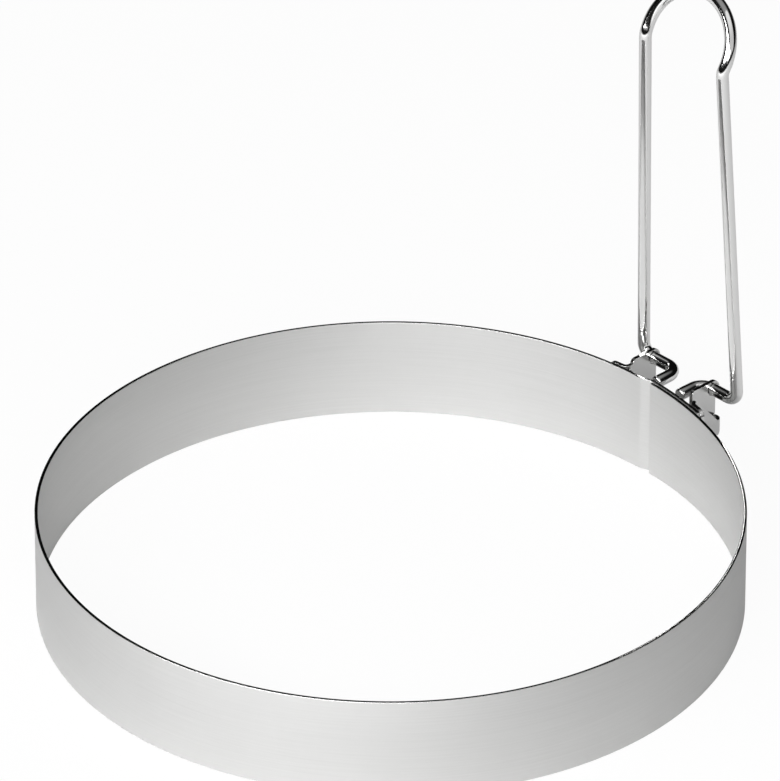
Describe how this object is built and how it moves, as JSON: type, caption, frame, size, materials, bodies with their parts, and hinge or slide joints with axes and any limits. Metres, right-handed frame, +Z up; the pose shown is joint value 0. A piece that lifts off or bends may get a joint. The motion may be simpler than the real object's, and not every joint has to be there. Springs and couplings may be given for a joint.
{
  "type": "egg ring",
  "caption": "Round egg ring for frying: a thin lapped steel band, a folded hinge bracket welded on its outside, and a bent wire handle with a loop that folds down outward.",
  "frame": {"origin": "centre of the band's foot, on the surface that the ring stands on", "axes": "+Z up along the ring's axis; the handle's hinge is 43.7 degrees from +X towards +Y"},
  "size_m": [0.1001, 0.1, 0.0781],
  "materials": {
    "satin_steel": "satin rolled sheet",
    "polished_sheet": "polished sheet",
    "polished_wire": "bright drawn wire"
  },
  "bodies": {
    "ring": {"ring_band": "satin_steel", "hinge_bracket": "polished_sheet"},
    "handle": {"wire_handle": "polished_wire"}
  },
  "joints": [
    {"name": "handle_fold", "type": "hinge", "parent": "ring", "child": "handle", "pos_m": [0.04175, 0.03679, 0.0146], "axis": [-0.6909, 0.723, 0], "range_deg": [0, 100]}
  ]
}
